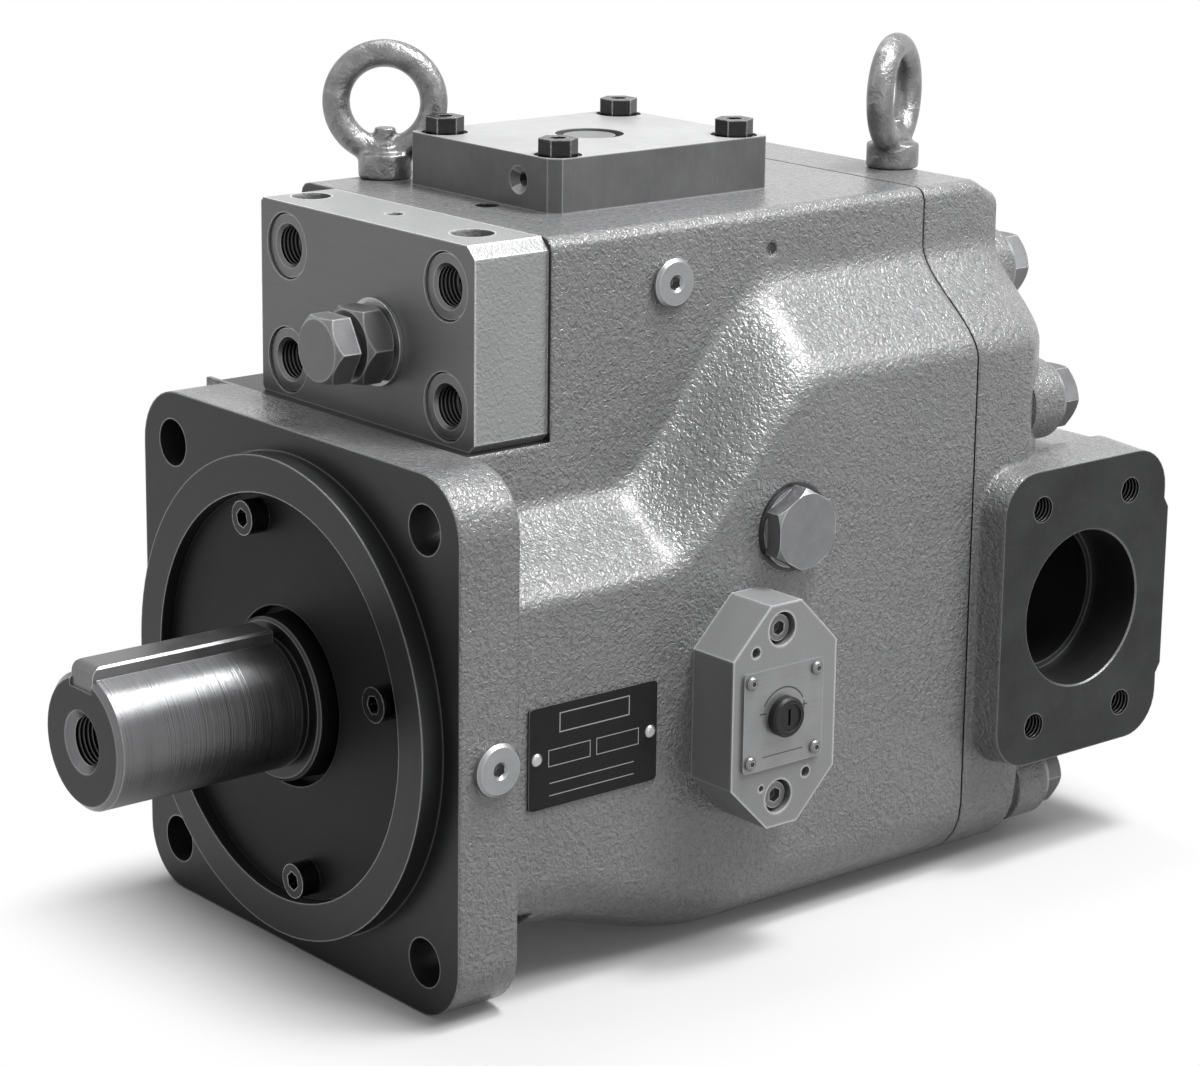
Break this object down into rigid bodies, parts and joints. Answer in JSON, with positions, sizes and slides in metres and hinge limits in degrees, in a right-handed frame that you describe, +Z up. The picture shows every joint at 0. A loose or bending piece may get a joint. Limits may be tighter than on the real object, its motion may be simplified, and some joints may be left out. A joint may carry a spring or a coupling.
{
  "type": "hydraulic piston pump",
  "caption": "Variable swash-plate axial piston pump with a square mounting flange, keyed shaft, side suction pad, top plate and lifting eyebolts.",
  "frame": {"origin": "centre of the pilot on the flange's mounting face, on the shaft axis", "axes": "+Z up towards the top plate, +Y from the flange towards the rear cover (the shaft points to -Y), +X towards the suction port"},
  "size_m": [0.226, 0.445, 0.3238],
  "materials": {
    "cast_paint": "cast orange-peel paint, satin",
    "machined_steel": "turned",
    "dark_steel": "blackened",
    "ground_steel": "ground",
    "cover_steel": "dark machined",
    "block_steel": "machined face, painted sides",
    "zinc_steel": "plated",
    "rubber_seal": "matte",
    "bronze": "machined",
    "spring_steel": "oiled",
    "black_plate": "satin black",
    "black_knob": "matte"
  },
  "bodies": {
    "housing": {"body_casting": "cast_paint", "cover_gasket": "rubber_seal", "rear_cover": "cast_paint", "cover_bolts": "dark_steel", "cover_washers": "zinc_steel", "dowel_pins": "ground_steel", "seal_cover": "cover_steel", "seal_cover_screws": "dark_steel", "shaft_seal": "rubber_seal", "cover_o_ring": "rubber_seal", "front_outer_race": "ground_steel", "rear_outer_race": "ground_steel", "swash_plate": "machined_steel", "cradle_block": "machined_steel", "cradle_bearings": "bronze", "valve_plate": "bronze", "valve_plate_pin": "ground_steel", "control_piston": "ground_steel", "control_sleeve": "machined_steel", "bias_piston": "ground_steel", "bias_spring": "spring_steel", "valve_block": "block_steel", "valve_block_screws": "dark_steel", "compensator_spring": "spring_steel", "compensator_spool": "ground_steel", "block_side_plug": "dark_steel", "block_side_pin": "ground_steel", "top_plate": "machined_steel", "top_plate_bolts": "dark_steel", "eyebolt_front": "zinc_steel", "eyebolt_rear": "zinc_steel", "side_plugs": "zinc_steel", "drain_plug": "zinc_steel", "adjuster_block": "block_steel", "adjuster_fixings": "dark_steel", "adjuster_plate": "zinc_steel", "nameplate": "black_plate"},
    "rotating_group": {"shaft": "machined_steel", "shaft_key": "machined_steel", "shaft_circlip": "spring_steel", "front_inner_race": "ground_steel", "rear_inner_race": "ground_steel", "cylinder_block": "machined_steel", "pistons": "ground_steel", "slippers": "bronze", "retainer_plate": "machined_steel", "ball_guide": "machined_steel", "push_pins": "ground_steel", "spring_rings": "machined_steel", "block_spring": "spring_steel", "block_circlip": "spring_steel"},
    "front_bearing_cage": {"front_rollers": "ground_steel", "front_cage": "bronze"},
    "rear_bearing_cage": {"rear_rollers": "ground_steel", "rear_cage": "bronze"},
    "adjuster_seat": {"spring_seat": "machined_steel"},
    "adjuster_screw": {"adjust_screw": "zinc_steel"},
    "nut_washer": {"adjust_washer": "zinc_steel"},
    "nut": {"lock_nut": "zinc_steel"},
    "trimmer": {"trim_knob": "black_knob"}
  },
  "joints": [
    {"name": "shaft_spin", "type": "hinge", "parent": "housing", "child": "rotating_group", "pos_m": [0, 0, 0], "axis": [0, 1, 0], "continuous": true},
    {"name": "front_cage_spin", "type": "hinge", "parent": "housing", "child": "front_bearing_cage", "pos_m": [0, 0.032, 0], "axis": [0, 1, 0], "continuous": true},
    {"name": "rear_cage_spin", "type": "hinge", "parent": "housing", "child": "rear_bearing_cage", "pos_m": [0, 0.27, 0], "axis": [0, 1, 0], "continuous": true},
    {"name": "adjuster_travel", "type": "slide", "parent": "housing", "child": "adjuster_seat", "axis": [0, 1, 0], "range_m": [-0.004, 0.001], "deforming": ["compensator_spring"]},
    {"name": "adjuster_turn", "type": "hinge", "parent": "adjuster_seat", "child": "adjuster_screw", "pos_m": [0.004, 0.035, 0.128], "axis": [0, 1, 0], "range_deg": [-961, 241]},
    {"name": "nut_travel", "type": "slide", "parent": "housing", "child": "nut_washer", "axis": [0, 1, 0], "range_m": [-0.0015, 0]},
    {"name": "nut_turn", "type": "hinge", "parent": "nut_washer", "child": "nut", "pos_m": [0.004, 0.027, 0.128], "axis": [0, 1, 0], "range_deg": [-361, 1]},
    {"name": "trim_turn", "type": "hinge", "parent": "housing", "child": "trimmer", "pos_m": [0.12, 0.134, -0.0043], "axis": [1, 0, 0], "range_deg": [-135, 135]}
  ],
  "couplings": [
    {"joint": "front_cage_spin", "follows": "shaft_spin", "ratio": 0.4276},
    {"joint": "rear_cage_spin", "follows": "shaft_spin", "ratio": 0.4454},
    {"joint": "adjuster_turn", "follows": "adjuster_travel", "rad_per_m": 4188.8},
    {"joint": "nut_turn", "follows": "nut_travel", "rad_per_m": 4188.8}
  ]
}
